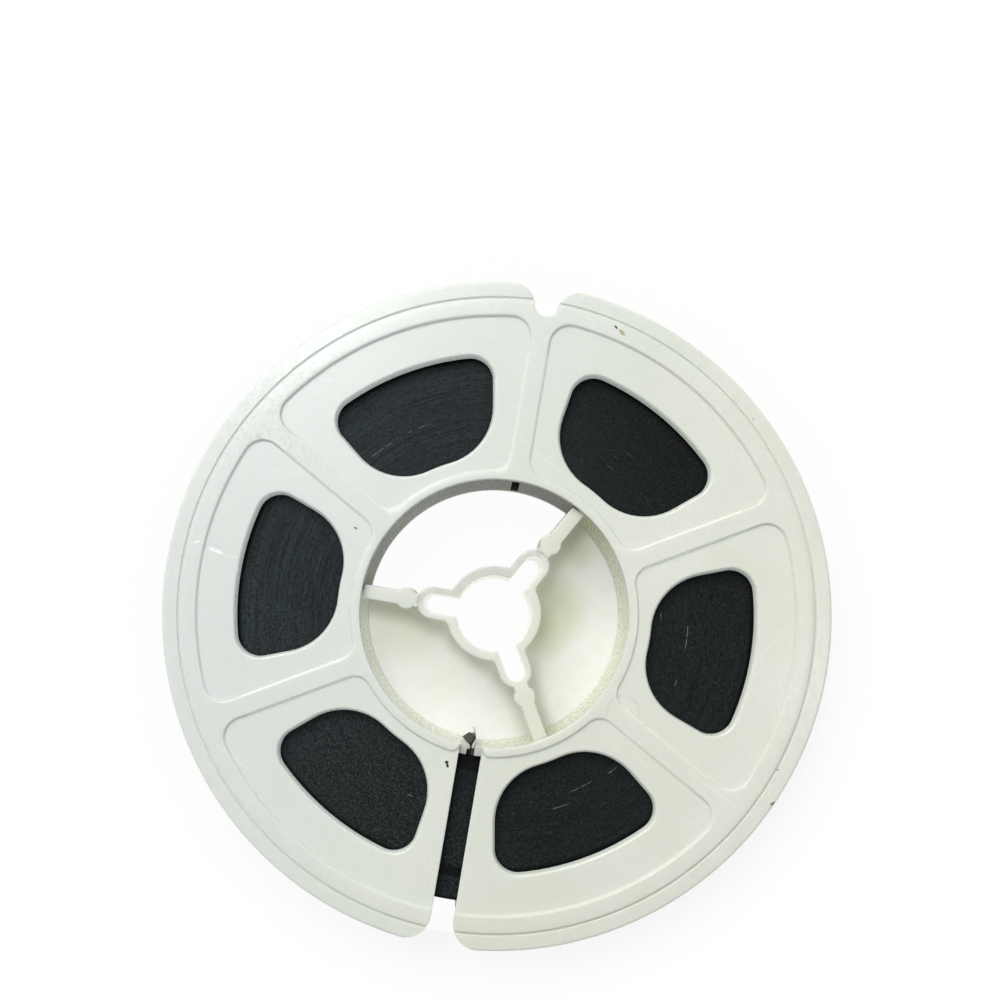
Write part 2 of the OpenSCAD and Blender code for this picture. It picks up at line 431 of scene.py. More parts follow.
def notch(grow):
    """Outline of the finger notch, along +X."""
    root_x = RIM_R - NOTCH_DEPTH + NOTCH_ROOT_R
    reach = RIM_R - NOTCH_MOUTH_R
    apart = NOTCH_ROOT_R + NOTCH_MOUTH_R
    x = (root_x * root_x + reach * reach - apart * apart) / (2 * root_x)
    y = math.sqrt(reach * reach - x * x)
    shoulder = (x, y)
    meet = math.degrees(math.atan2(-y, root_x - x))
    points = [outside(shoulder)]
    points += arc(shoulder, NOTCH_MOUTH_R - grow + BLEND, angle_of(shoulder), meet, 22, last=False)
    points += arc((root_x, 0), NOTCH_ROOT_R + grow, meet + 180, 180, 12)
    return points + mirrored(points)[1:]


def flange_face(x, y):
    """Height of a flange's outer face at a place, for the edges of the cuts through it."""
    radius = math.hypot(x, y)
    if PANEL_R_IN < radius < PANEL_R_OUT:
        return FLANGE_T - PANEL_DEPTH
    if radius > GROOVE_R:
        return FLANGE_T - LIP_DROP
    return FLANGE_T


def panel_face(x, y):
    """Height of the panels."""
    return FLANGE_T - PANEL_DEPTH


def rim_face(x, y):
    """Height of the rim inside and outside its groove."""
    return FLANGE_T - LIP_DROP if math.hypot(x, y) > GROOVE_R else FLANGE_T


def flange_section():
    """Section of a flange from the hub opening to the rim, with its film side on height 0."""
    lip = FLANGE_T - LIP_DROP
    groove = GROOVE_W / 2
    crown = FLANGE_T - CROWN_DROP
    roll = GROOVE_INNER_R
    section = [(HUB_R, SEAT_DEPTH), (SEAT_R, SEAT_DEPTH), (SEAT_R, 0)]
    section += arc((RIM_R - EDGE_R, EDGE_R), EDGE_R, -90, 0, 6)
    section += arc((RIM_R - EDGE_R, lip - CROWN_DROP - EDGE_R), EDGE_R, 0, 88, 6)
    # The lip's inner edge rolls into the groove, which has a round bottom
    lip_edge = (GROOVE_R + groove + GROOVE_LIP_R, lip - GROOVE_LIP_R)
    section += arc(lip_edge, GROOVE_LIP_R, 90, 180, 3)
    section += arc((GROOVE_R, lip - GROOVE_DEPTH), groove, 0, -180, 6)
    section += arc((GROOVE_R - groove - roll, crown - roll), roll, 0, 88, 4)
    section.append(((GROOVE_R + CROWN_R) / 2, FLANGE_T - CROWN_DROP * 0.4))
    section.append((CROWN_R, FLANGE_T))
    section += arc((HUB_R + HUB_EDGE_R, FLANGE_T - HUB_EDGE_R), HUB_EDGE_R, 90, 180, 6)
    return section


def moulded_flange(name):
    """One flange with its film side on height 0 and its panels up."""
    piece = spun(name, flange_section(), FLANGE_STEPS)
    floor = FLANGE_T - PANEL_DEPTH
    recesses = []
    for k in range(1, 5):
        angle = SLIT_A + (k + 0.5) * STEP_A
        recesses.append(recess_cutter("recess", panel, floor, FLANGE_T, angle))
    recesses.append(recess_cutter("recess", double_panel, floor, FLANGE_T, SLIT_A))
    shape_with(piece, joined(recesses), "DIFFERENCE")
    openings = []
    for k in range(6):
        angle = SLIT_A + (k + 0.5) * STEP_A
        edges = (WINDOW_EDGE_R, CUT_EDGE_R)
        openings.append(through_cutter("opening", window, panel_face, edges, angle, WINDOW_DRAFT))
    edges = (CUT_EDGE_R, CUT_EDGE_R)
    openings.append(through_cutter("opening", slit, flange_face, edges, SLIT_A))
    edges = (NOTCH_EDGE_R, NOTCH_EDGE_R)
    openings.append(through_cutter("opening", notch, rim_face, edges, SLIT_A + 180))
    shape_with(piece, joined(openings), "DIFFERENCE")
    return piece


def socket(grow):
    """Outline of the socket with the walls of its three keyways."""
    y = LOBE_HALF + SOCKET_FILLET
    x = math.sqrt((SOCKET_R + SOCKET_FILLET) ** 2 - y * y)
    fillet = angle_of((x, y))
    points = []
    for k in range(3):
        side = arc((LOBE_X, 0), LOBE_HALF + grow, 0, 90, 14)
        side += arc((x, y), SOCKET_FILLET - grow, 270, 180 + fillet, 6)
        turn = KEY_STEP_A * k
        points += turned(mirrored(side)[:-1] + side, turn)
        end = turn + KEY_STEP_A - fillet
        points += arc((0, 0), SOCKET_R + grow, turn + fillet, end, 16)[1:-1]
    return points


def spoke(grow):
    """Outline of one spoke with its boss, along +X from a keyway's wall into the drum's."""
    neck = SPOKE_HALF + grow
    boss = BOSS_R + grow
    wall = LOBE_HALF - SPOKE_LAP
    root = math.degrees(math.asin(neck / wall))
    meet = math.degrees(math.asin(neck / boss))
    side = arc((LOBE_X, 0), wall, root, root, 1, last=False)
    side += arc((BOSS_X, 0), boss, 180 - meet, meet, 12)
    side.append((SPOKE_END, neck))
    return mirrored(side[::-1]) + side[::-1] + arc((LOBE_X, 0), wall, root, -root, 6)[1:-1]


def pillar(name, outline, foot, top, edge, angle):
    """A solid upright between two heights, with round edges and a slight bulge halfway up."""
    rings = []
    for step in (0, 30, 60, 90):
        turn = math.radians(step)
        rings.append((edge * (math.sin(turn) - 1), edge * (1 - math.cos(turn))))
    levels = [(grow, foot + lift) for grow, lift in rings]
    levels.append((HUB_BULGE, (foot + top) / 2))
    levels += [(grow, top - lift) for grow, lift in reversed(rings)]
    placed = []
    for grow, height in levels:
        placed.append([(x, y, height) for x, y in turned(outline(grow), angle)])
    return lofted(name, placed)


def keyed_bore(grow):
    """Outline of the spindle bore with its three keyways, their corners a little rounded."""
    points = []
    soft = KEY_CORNER_R
    for k in range(3):
        half = KEY_HALF + grow
        bore = BORE_R + grow
        corner_y = half + soft
        corner = (math.sqrt((bore + soft) ** 2 - corner_y**2), corner_y)
        side = arc((LOBE_X, 0), half, 0, 90, 9)
        side += arc(corner, soft, 270, 180 + angle_of(corner), 5, last=False)
        side += arc((0, 0), bore, angle_of(corner), KEY_STEP_A / 2, 9)
        points += turned(mirrored(side)[1:-1] + side, KEY_STEP_A * k)
    return points


def hub_body():
    """The drum with its film slots, and the keyed socket on three spokes inside it."""
    top = REEL_W - DRUM_FOOT
    soft = DRUM_EDGE_R
    section = arc((HUB_R + soft, DRUM_FOOT + soft), soft, 180, 270, 3)
    section += arc((DRUM_R - soft, DRUM_FOOT + soft), soft, -90, 0, 3)
    section += arc((DRUM_R - soft, top - soft), soft, 0, 90, 3)
    section += arc((HUB_R + soft, top - soft), soft, 90, 180, 3)
    piece = spun("hub_moulding", section, DRUM_STEPS)
    foot = SPOKE_FOOT + SOCKET_STEP
    top = SPOKE_TOP - SOCKET_STEP
    shape_with(piece, pillar("socket", socket, foot, top, SOCKET_EDGE_R, KEY_A), "UNION")
    for k in range(3):
        angle = KEY_A + KEY_STEP_A * k
        limb = pillar("spoke", spoke, SPOKE_FOOT, SPOKE_TOP, SPOKE_EDGE_R, angle)
        shape_with(piece, limb, "UNION")
    bore = []
    levels = [(grow, foot + height) for grow, height in lower_edge(BORE_EDGE_R)]
    levels += [(grow, top + height) for grow, height in upper_edge(BORE_EDGE_R)]
    for grow, height in levels:
        bore.append([(x, y, height) for x, y in turned(keyed_bore(grow), KEY_A)])
    shape_with(piece, lofted("bore", bore), "DIFFERENCE")
    slots = []
    half = FILM_SLOT_W / 2
    near = HUB_R - PAST
    far = DRUM_R + PAST
    for angle, foot, head in ((SLIT_A, 0, REEL_W), (SLIT_A + 180, FLANGE_T, REEL_W - FLANGE_T)):
        corners = turned([(near, -half), (far, -half), (far, half), (near, half)], angle)
        slots.append(lofted("slot", [[(x, y, z) for x, y in corners] for z in (foot, head)]))
    shape_with(piece, joined(slots), "DIFFERENCE")
    return piece


# Film wound flat: a ribbon modelled straight, then laid round the drum

def ribbon(name, along, across):
    """A flat ribbon one unit long and wide, which stands on its edge once it is wound."""
    deselect()
    bpy.ops.mesh.primitive_grid_add(x_subdivisions=along, y_subdivisions=across, size=1)
    piece = bpy.context.object
    piece.name = name
    return piece


def wind(piece, path):
    """Moves each vertex of a ribbon to path(how far along, how far up)."""
    for vertex in piece.data.vertices:
        vertex.co = Vector(path(vertex.co.x + 0.5, vertex.co.y + 0.5)) * MM


def thicken(piece):
    """Gives a wound ribbon the thickness of film."""
    apply(piece, "SOLIDIFY", thickness=FILM_T * MM, offset=0, use_even_offset=True)
    take(piece)
    edit_all()
    bpy.ops.mesh.normals_make_consistent(inside=False)
    deselect()
    take(piece)
    bpy.ops.object.shade_smooth_by_angle(angle=math.radians(FILM_SMOOTH_A))


def wound_film():
    """All turns but the last, one ribbon from the drum outwards."""
    draw = random.Random(8)
    turns = 97 + (LAST_TURN_START - SLIT_A) / 360
    steps_per_turn = 120
    uneven = 0.035
    proud = 0.06
    drift = 0.008
    lift = 0.02
    inner = PACK_R_IN + FILM_T / 2
    pitch = (PACK_R_CORE - PACK_R_IN - FILM_T) / turns
    # Turns stand a little proud or low, and drift as they go round
    stand = [draw.uniform(-uneven, uneven) for _ in range(100)]
    for k in (9, 23, 37, 38, 52, 71, 88):
        stand[k] = proud
    sway = [(draw.uniform(0, math.tau), draw.uniform(0.6, 3.2)) for _ in range(3)]

    def path(along, up):
        at = along * turns
        whole = int(at)
        share = at - whole
        ease = share * share * (3 - 2 * share)
        shift = stand[whole] + (stand[whole + 1] - stand[whole]) * ease
        for phase, rate in sway:
            shift += drift * math.sin(phase + rate * at * math.tau)
        x, y = polar(inner + pitch * at, SLIT_A + 360 * at)
        # Both edges of a turn shift with it, the lower one by less
        height = FILM_Z + lift + FILM_W * up
        return (x, y, height + shift * (0.3 + 0.7 * up))

    piece = ribbon("wound_film", round(turns * steps_per_turn), 1)
    wind(piece, path)
    thicken(piece)
    return piece


def last_turn():
    """The outermost turn, whose perforations show between the flanges."""
    deselect()
    bpy.ops.mesh.primitive_plane_add(size=1)
    piece = bpy.context.object
    piece.name = "last_turn"
    middle_r = PACK_R_CORE + 0.1
    length = math.radians(LAST_TURN_SWEEP) * middle_r
    cell = length / FRAMES
    # One frame's length of film, with a round-cornered perforation near its upper edge
    hole_y = FILM_W - HOLE_MARGIN - HOLE_H / 2
    side_x = HOLE_W / 2 - HOLE_CORNER_R
    side_y = HOLE_H / 2 - HOLE_CORNER_R
    hole = []
    for cx, cy, start in ((1, 1, 0), (-1, 1, 90), (-1, -1, 180), (1, -1, 270)):
        centre = (cell / 2 + cx * side_x, hole_y + cy * side_y)
        hole += arc(centre, HOLE_CORNER_R, start, start + 90, 3)
    for vertex in piece.data.vertices:
        vertex.co = ((vertex.co.x + 0.5) * cell * MM, (vertex.co.y + 0.5) * FILM_W * MM, 0)
    body = [(x, y, -1) for x, y in hole]
    lid = [(x, y, 1) for x, y in hole]
    edit_all()
    bpy.ops.mesh.extrude_region_move(TRANSFORM_OT_translate={"value": (0, 0, FILM_T * MM)})
    bpy.ops.mesh.select_all(action="SELECT")
    bpy.ops.mesh.normals_make_consistent(inside=False)
    deselect()
    shape_with(piece, lofted("punch", [body, lid]), "DIFFERENCE")
    # The ends of a cell go, so that the cells join into one strip
    take(piece)
    bpy.ops.object.mode_set(mode="EDIT")
    bpy.ops.mesh.select_all(action="DESELECT")
    work = bmesh.from_edit_mesh(piece.data)
    for face in work.faces:
        x = face.calc_center_median().x
        at_end = min(abs(x), abs(x - cell * MM)) < SAME_FRAME_END
        face.select = at_end and abs(face.normal.x) > 0.9
    bmesh.update_edit_mesh(piece.data)
    bpy.ops.mesh.delete(type="FACE")
    # Cuts across the strip, so that it bends smoothly
    bends = 6
    for k in range(1, bends):
        bpy.ops.mesh.select_all(action="SELECT")
        bpy.ops.mesh.bisect(plane_co=(cell * k / bends * MM, 0, 0), plane_no=(1, 0, 0))
    deselect()
    apply(
        piece,
        "ARRAY",
        count=FRAMES,
        use_relative_offset=False,
        use_constant_offset=True,
        constant_offset_displace=(cell * MM, 0, 0),
        use_merge_vertices=True,
        merge_threshold=SAME_FRAME_END,
    )
    take(piece)
    edit_all()
    bpy.ops.mesh.remove_doubles(threshold=SAME_FRAME_END)
    bpy.ops.mesh.select_all(action="DESELECT")
    bpy.ops.mesh.select_non_manifold()
    bpy.ops.mesh.edge_face_add()
    bpy.ops.mesh.select_all(action="SELECT")
    bpy.ops.mesh.normals_make_consistent(inside=False)
    deselect()
    for vertex in piece.data.vertices:
        along, up, depth = vertex.co / MM
        share = along / length
        radius = PACK_R_CORE + TURN_AIR * (0.5 + 0.5 * share) + depth
        x, y = polar(radius, LAST_TURN_START + LAST_TURN_SWEEP * share)
        vertex.co = Vector((x, y, FILM_Z + up)) * MM
    take(piece)
    bpy.ops.object.shade_smooth_by_angle(angle=math.radians(FILM_SMOOTH_A))
    return piece


def film_tongue():
    """The film's inner end, which passes the drum's slot, torn and bent aside in the hub."""
    draw = random.Random(3)
    along, across = 44, 30
    ragged = 0.1
    root = 1.05
    short = 0.75
    slant = 1.3
    wave = 0.3
    bend = 1.15
    sink = 0.3
    tear = [draw.uniform(-ragged, ragged) for _ in range(across + 1)]

    def path(u, v):
        row = round(v * across)
        # How far in from the drum's inner face: the torn end runs back below the upper corner
        reach = short + slant * v**2.2 + tear[row] * (0.4 + v)
        inside = (reach + root) * u - root
        free = max(0.0, inside + 0.25)
        spine = wave * math.sin(min(free, 2.4) * 1.45) * min(1.0, free)
        flare = min(1.0, free / 0.3) ** 1.5 * max(0.0, 1 - max(0.0, free - 0.3) / 1.6)
        x = spine - bend * flare * (1 - v) ** 0.7
        z = FILM_Z + FILM_W * v - sink * flare * v
        return (x, inside - HUB_R - FILM_CLEAR, z)

    piece = ribbon("film_tongue", along, across)
    wind(piece, path)
    thicken(piece)
    return piece


# Finishes

def link(tree, a, b):
    """Joins an output to an input."""
    tree.links.new(a, b)


def new_group(name, inputs, outputs):
    """A shader node group. Inputs come with their values, and each output is a number."""
    group = bpy.data.node_groups.new(name, "ShaderNodeTree")
    for label, value in inputs.items():
        kind = "NodeSocketVector" if isinstance(value, tuple) else "NodeSocketFloat"
        entry = group.interface.new_socket(label, in_out="INPUT", socket_type=kind)
        entry.default_value = value
    for label in outputs:
        group.interface.new_socket(label, in_out="OUTPUT", socket_type="NodeSocketFloat")
    ins = group.nodes.new("NodeGroupInput").outputs
    outs = group.nodes.new("NodeGroupOutput").inputs
    return group, ins, outs


def node(tree, kind, inputs=None, **values):
    """Adds a node, sets its properties, and sets or links its inputs by name or number."""
    made = tree.nodes.new("ShaderNode" + kind)
    for name, value in values.items():
        setattr(made, name, value)
    for key, value in (inputs or {}).items():
        if isinstance(value, bpy.types.NodeSocket):
            tree.links.new(value, made.inputs[key])
        else:
            made.inputs[key].default_value = value
    return made


def use(tree, group, **inputs):
    """Places a node group, with its inputs given by name with _ for a space. Gives its outputs."""
    made = tree.nodes.new("ShaderNodeGroup")
    made.node_tree = group
    for name, value in inputs.items():
        made.inputs[name.replace("_", " ")].default_value = value
    return made.outputs


def math_node(tree, operation, a, b=0.0):
    """Output of a Math node."""
    return node(tree, "Math", {0: a, 1: b}, operation=operation).outputs[0]


def times(tree, *values):
    """Product of several values."""
    product = values[0]
    for value in values[1:]:
        product = math_node(tree, "MULTIPLY", product, value)
    return product


def larger(tree, a, b):
    """The larger of two values."""
    return math_node(tree, "MAXIMUM", a, b)


def less(tree, a, b):
    """The first value less the second."""
    return math_node(tree, "SUBTRACT", a, b)


def unsigned(tree, value):
    """A value without its sign."""
    return math_node(tree, "ABSOLUTE", value)


def vector_math(tree, operation, a, b=(0.0, 0.0, 0.0)):
    """Output of a Vector Math node, a number where the operation gives one."""
    made = node(tree, "VectorMath", {0: a, 1: b}, operation=operation)
    return made.outputs[1 if operation in ("LENGTH", "DISTANCE", "DOT_PRODUCT") else 0]


def vector_of(tree, x, y, z=0.0):
    """A vector of three numbers."""
    return node(tree, "CombineXYZ", {0: x, 1: y, 2: z}).outputs[0]


def axes_of(tree, vector):
    """The three numbers of a vector."""
    return node(tree, "SeparateXYZ", {0: vector}).outputs


def swung(tree, vector, angle):
    """A vector turned about the reel's axis by an angle in radians."""
    made = node(tree, "VectorRotate", {"Vector": vector, "Angle": angle}, rotation_type="Z_AXIS")
    return made.outputs[0]


def ramp(tree, value, low, high, out_low=0.0, out_high=1.0):
    """A value taken from one range to another, smoothly and held at the ends."""
    ends = {"From Min": low, "From Max": high, "To Min": out_low, "To Max": out_high}
    made = node(tree, "MapRange", {"Value": value, **ends}, interpolation_type="SMOOTHSTEP")
    return made.outputs["Result"]


def ramp_mm(tree, value, low, high, out_low=0.0, out_high=1.0):
    """The same, with the range given in millimetres."""
    return ramp(tree, value, low * MM, high * MM, out_low, out_high)


def noise(tree, place, scale, detail=2.0, rough=0.5, distort=0.0):
    """Cloudy pattern from 0 to 1."""
    inputs = {"Vector": place, "Scale": scale, "Detail": detail}
    made = node(tree, "TexNoise", {**inputs, "Roughness": rough, "Distortion": distort})
    return made.outputs["Fac"]


def bumped(tree, strength, distance, height):
    """Normal of a surface raised by a pattern, by up to a distance in millimetres."""
    inputs = {"Strength": strength, "Distance": distance * MM, "Height": height}
    return node(tree, "Bump", inputs).outputs[0]


def object_place(tree):
    """Place on the piece, in metres."""
    return node(tree, "TexCoord").outputs["Object"]


def flat_place(tree, place):
    """A place with its height left out."""
    return vector_math(tree, "MULTIPLY", place, (1.0, 1.0, 0.0))


def from_axis(tree, place):
    """Distance of a place from the reel's axis."""
    return vector_math(tree, "LENGTH", flat_place(tree, place))


def facing(tree):
    """How far the surface faces up: 1 on the upper side, 0 on walls and -1 below."""
    return axes_of(tree, node(tree, "NewGeometry").outputs["Normal"])[2]


def tinted(tree, colour, tint, share):
    """A colour taken towards a tint by a share. Either colour may be a socket."""
    made = node(tree, "Mix", data_type="RGBA")
    for entry, value in zip((made.inputs[0], *made.inputs[6:8]), (share, colour, tint)):
        if isinstance(value, bpy.types.NodeSocket):
            tree.links.new(value, entry)
        else:
            entry.default_value = (*value, 1.0)
    return made.outputs[2]


def cloud_group():
    """Slow unevenness of moulded plastic: a mask in wide clouds and one in fine grain."""
    scales = {"Wide Scale": 60.0, "Fine Scale": 900.0}
    tree, ins, outs = new_group("moulding_clouds", scales, ("Clouds", "Grain"))
    place = object_place(tree)
    wide = noise(tree, place, ins["Wide Scale"], 3.0, 0.55, 0.4)
    fine = noise(tree, place, ins["Fine Scale"], 3.0, 0.6)
    link(tree, ramp(tree, wide, 0.32, 0.68), outs["Clouds"])
    link(tree, ramp(tree, fine, 0.25, 0.75), outs["Grain"])
    return tree


def scratch_group():
    """Fine straight handling scratches, in patches, at an angle given in radians."""
    inputs = {"Angle": 0.0, "Spacing": 700.0, "Amount": 0.5}
    tree, ins, outs = new_group("handling_scratches", inputs, ("Mask",))
    place = object_place(tree)
    parts = axes_of(tree, swung(tree, place, ins["Angle"]))
    stretched = vector_of(tree, times(tree, parts[0], 45.0), times(tree, parts[1], ins["Spacing"]))
    thin = ramp(tree, noise(tree, stretched, 1.0, 2.0, 0.55), 0.665, 0.72)
    patch = ramp(tree, noise(tree, place, 55.0, 1.0), 0.5, 0.66)
    link(tree, times(tree, thin, patch, ins["Amount"]), outs["Mask"])
    return tree


def speck_group():
    """One small ragged spot round a centre in metres, drawn out along an angle."""
    inputs = {"Centre": (0, 0, 0), "Length": 0.0005, "Width": 0.0003, "Angle": 0.0}
    tree, ins, outs = new_group("speck", inputs, ("Mask",))
    place = object_place(tree)
    ragged = node(tree, "TexNoise", {"Vector": place, "Scale": 2600.0, "Detail": 2.0})
    shift = vector_math(tree, "SUBTRACT", ragged.outputs["Color"], (0.5, 0.5, 0.5))
    reach = times(tree, ins["Width"], 1.7)
    shift = node(tree, "VectorMath", {0: shift, "Scale": reach}, operation="SCALE").outputs[0]
    off = vector_math(tree, "SUBTRACT", place, ins["Centre"])
    off = swung(tree, vector_math(tree, "ADD", off, shift), ins["Angle"])
    parts = axes_of(tree, off)
    x = math_node(tree, "DIVIDE", parts[0], ins["Length"])
    y = math_node(tree, "DIVIDE", parts[1], ins["Width"])
    z = math_node(tree, "DIVIDE", parts[2], 0.6 * MM)
    far = vector_math(tree, "LENGTH", vector_of(tree, x, y, z))
    link(tree, ramp(tree, far, 1.0, 0.55), outs["Mask"])
    return tree


def turns_group():
    """Lines of wound film: differs from turn to turn with the radius, and slowly round the pack."""
    outputs = ("Tone", "Height", "Dust")
    tree, ins, outs = new_group("film_turns", {"Pitch": 0.000165}, outputs)
    place = object_place(tree)
    parts = axes_of(tree, place)
    turn = math_node(tree, "DIVIDE", from_axis(tree, place), ins["Pitch"])
    angle = math_node(tree, "ARCTAN2", parts[1], parts[0])
    long_lines = vector_of(tree, turn, times(tree, angle, 3.0))
    short_lines = vector_of(tree, turn, times(tree, angle, 26.0))
    lines = noise(tree, long_lines, 0.62, 3.0, 0.7)
    broken = noise(tree, short_lines, 0.9, 2.0, 0.6)
    both = math_node(tree, "ADD", times(tree, lines, 0.65), times(tree, broken, 0.35))
    link(tree, ramp(tree, both, 0.34, 0.66), outs["Tone"])
    link(tree, lines, outs["Height"])
    dust = noise(tree, place, 3800.0, 2.0, 0.6)
    link(tree, ramp(tree, dust, 0.62, 0.76), outs["Dust"])
    return tree


def arc_scratch_group():
    """One scratch that follows a turn: at a radius, between two angles in radians."""
    inputs = {"Radius": 0.02, "Width": 0.00006, "Middle": 0.0, "Half Sweep": 0.05}
    tree, ins, outs = new_group("arc_scratch", inputs, ("Mask",))
    place = object_place(tree)
    off = unsigned(tree, less(tree, from_axis(tree, place), ins["Radius"]))
    near = ramp(tree, math_node(tree, "DIVIDE", off, ins["Width"]), 1.0, 0.4)
    back = swung(tree, flat_place(tree, place), times(tree, ins["Middle"], -1.0))
    parts = axes_of(tree, back)
    angle = unsigned(tree, math_node(tree, "ARCTAN2", parts[1], parts[0]))
    within = ramp(tree, math_node(tree, "DIVIDE", angle, ins["Half Sweep"]), 1.0, 0.7)
    broken = ramp(tree, noise(tree, place, 1500.0, 1.0), 0.4, 0.55)
    link(tree, times(tree, near, within, broken), outs["Mask"])
    return tree


def round_line_group():
    """A fine round line about a centre in metres, fading away on one side."""
    inputs = {"Centre": (0, 0, 0), "Radius": 0.0018, "Width": 0.00012}
    tree, ins, outs = new_group("round_line", inputs, ("Mask",))
    off = vector_math(tree, "SUBTRACT", object_place(tree), ins["Centre"])
    off_line = unsigned(tree, less(tree, from_axis(tree, off), ins["Radius"]))
    line = ramp(tree, math_node(tree, "DIVIDE", off_line, ins["Width"]), 1.0, 0.2)
    side = ramp_mm(tree, axes_of(tree, off)[1], -1.2, 0.4)
    broken = ramp(tree, noise(tree, off, 900.0, 1.0), 0.35, 0.55)
    link(tree, times(tree, line, side, broken), outs["Mask"])
    return tree


def side_group():
    """How far towards one side of the reel a place lies, from 0 to 1."""
    inputs = {"Direction": (-1, 0, 0), "Low": -0.02, "High": 0.03}
    tree, ins, outs = new_group("side", inputs, ("Mask",))
    along = vector_math(tree, "DOT_PRODUCT", object_place(tree), ins["Direction"])
    link(tree, ramp(tree, along, ins["Low"], ins["High"]), outs["Mask"])
    return tree


def upper_sector(tree):
    """Mask of the third of the hub between the spokes at 60 and 180 degrees."""
    place = object_place(tree)
    across = vector_math(tree, "DOT_PRODUCT", place, (-0.866, 0.5, 0.0))
    nearer = math_node(tree, "MINIMUM", axes_of(tree, place)[1], across)
    return ramp_mm(tree, nearer, -0.4, 0.4)


def spoke_fold(tree, shift=(0.0, 0.0, 0.0)):
    """How far a place lies along the nearest of the hub's spokes, beside it, and from the axis."""
    place = vector_math(tree, "ADD", object_place(tree), shift)
    parts = axes_of(tree, place)
    far = from_axis(tree, place)
    third = math.tau / 3
    turn = math_node(tree, "ARCTAN2", parts[1], parts[0])
    turn = math_node(tree, "ADD", math_node(tree, "DIVIDE", turn, third), 1.0)
    turn = less(tree, math_node(tree, "FRACT", turn), 0.5)
    turn = times(tree, turn, third)
    along = times(tree, far, math_node(tree, "COSINE", turn))
    beside = unsigned(tree, times(tree, far, math_node(tree, "SINE", turn)))
    return along, beside, far


def steep_walls(tree):
    """Mask of walls, 1 where the surface is upright and 0 where it is level."""
    return ramp(tree, unsigned(tree, facing(tree)), 0.8, 0.35)


CLOUDS = cloud_group()
SCRATCHES = scratch_group()
SPECK = speck_group()
TURNS = turns_group()
ARC_SCRATCH = arc_scratch_group()
ROUND_LINE = round_line_group()
SIDE = side_group()

# Colours of lights, marks and washes
NO_LIGHT = (0.0, 0.0, 0.0)
WHITE = (1.0, 1.0, 1.0)
BLACK_MARK = (0.02, 0.02, 0.016)
PALE_MARK = (0.97, 0.98, 0.96)
SCRATCHED = (0.93, 0.94, 0.9)
SHEEN_MOTTLE_DULL = (0.58, 0.6, 0.56)
PIN_LINE = (0.55, 0.57, 0.5)
WINDOW_GLOW = (0.172, 0.19, 0.176)
WALL_OLIVE = (0.78, 0.8, 0.58)
WALL_SHADE_PAINTED = (0.14, 0.15, 0.12)
WALL_TOP_SHADE_PAINTED = (0.06, 0.066, 0.05)
SOCKET_GREY = (0.42, 0.43, 0.43)
BORE_GLOW = (0.98, 1.0, 0.98)
SLOT_SHADE_PAINTED = (0.48, 0.49, 0.46)
FILM_BLOT = (0.026, 0.03, 0.03)
FILM_SHADE = (0.001, 0.0015, 0.0015)
FILM_PIT = (0.001, 0.0014, 0.0014)
FILM_MOTE = (0.046, 0.06, 0.06)
FILM_DUST = (0.1, 0.108, 0.105)
FILM_SCRATCH = (0.3, 0.31, 0.3)
FILM_UNDER = (0.0005, 0.0007, 0.0007)
FILM_TORN = (0.5, 0.5, 0.46)
GROUND_OUT = (0.94, 0.945, 0.915)
GROUND_IN = (0.92, 0.935, 0.89)
GROUND_CREAM = (0.72, 0.73, 0.54)
GROUND_MOTTLE = (0.84, 0.85, 0.74)
GROUND_SHADE = (0.6, 0.61, 0.5)

# Marks on the front flange: x, y, height, half length, half width, angle, colour and strength
MARKS = (
    (8.23, 34.48, 11.6, 0.3, 0.17, -35, BLACK_MARK, 1.0),
    (8.99, 33.99, 11.6, 0.6, 0.24, -35, (0.4, 0.39, 0.16), 0.8),
    (34.37, -15.82, 11.4, 0.42, 0.24, 60, (0.2, 0.2, 0.12), 0.9),
    (-2.43, -17.56, 11.25, 0.27, 0.2, -60, BLACK_MARK, 1.0),
    (-2.27, -17.94, 11.25, 0.32, 0.19, -85, BLACK_MARK, 1.0),
    (-17.21, 6.9, 11.25, 0.3, 0.13, -25, (0.05, 0.05, 0.05), 0.9),
    (34.3, -11.98, 11.6, 0.26, 0.12, 10, (0.1, 0.1, 0.07), 0.8),
    (25.34, 26.64, 11.5, 0.16, 0.13, 0, (0.2, 0.2, 0.17), 0.7),
    (-32.73, 1.71, 11.4, 1.2, 0.26, -12, PALE_MARK, 1.0),
    (-30.63, 1.3, 11.25, 0.9, 0.07, -12, PALE_MARK, 0.5),
    (-34.94, 2.29, 11.6, 0.7, 0.16, 20, PALE_MARK, 0.8),
    (-29.78, 0.0, 11.2, 0.5, 0.16, 85, PALE_MARK, 0.9),
)

# Scratches on the pack: radius, middle angle, half its sweep, strength
ARCS = (
    (19.17, 8.7, 1.4, 0.5),
    (22.27, 2.7, 4.0, 0.5),
    (22.28, -11.2, 1.1, 0.4),
    (22.48, -42.6, 2.6, 0.7),
    (22.21, -54.0, 4.4, 0.4),
    (23.36, -60.9, 3.2, 0.35),
    (23.0, -103.8, 2.8, 0.5),
    (23.0, 134.4, 5.0, 0.4),
    (23.17, 121.5, 4.2, 0.35),
    (21.53, 60.4, 2.2, 0.2),
    (22.87, 61.1, 1.1, 0.25),
    (24.0, 58.8, 1.3, 0.3),
)

# Cream spots of light on the ground in the hub: x, y, reach and strength
CREAM_SPOTS = (
    (6.8, 1.8, 6.0, 0.9),
    (6.6, -1.5, 4.0, 0.6),
    (8.2, 10.3, 4.5, 0.7),
    (-10.1, -2.9, 7.0, 0.5),
    (-4.5, -8.9, 5.0, 0.2),
)

# Middle of the painted dull mottles in the highlight on the front flange's rim, in metres
SHEEN_MOTTLE_CENTRE = (-28.2 * MM, 17.9 * MM, REEL_W * MM)


def new_material(name):
    """A material with its shader and its tree."""
    material = bpy.data.materials.new(name)
    material.use_nodes = True
    return material, material.node_tree, material.node_tree.nodes["Principled BSDF"]


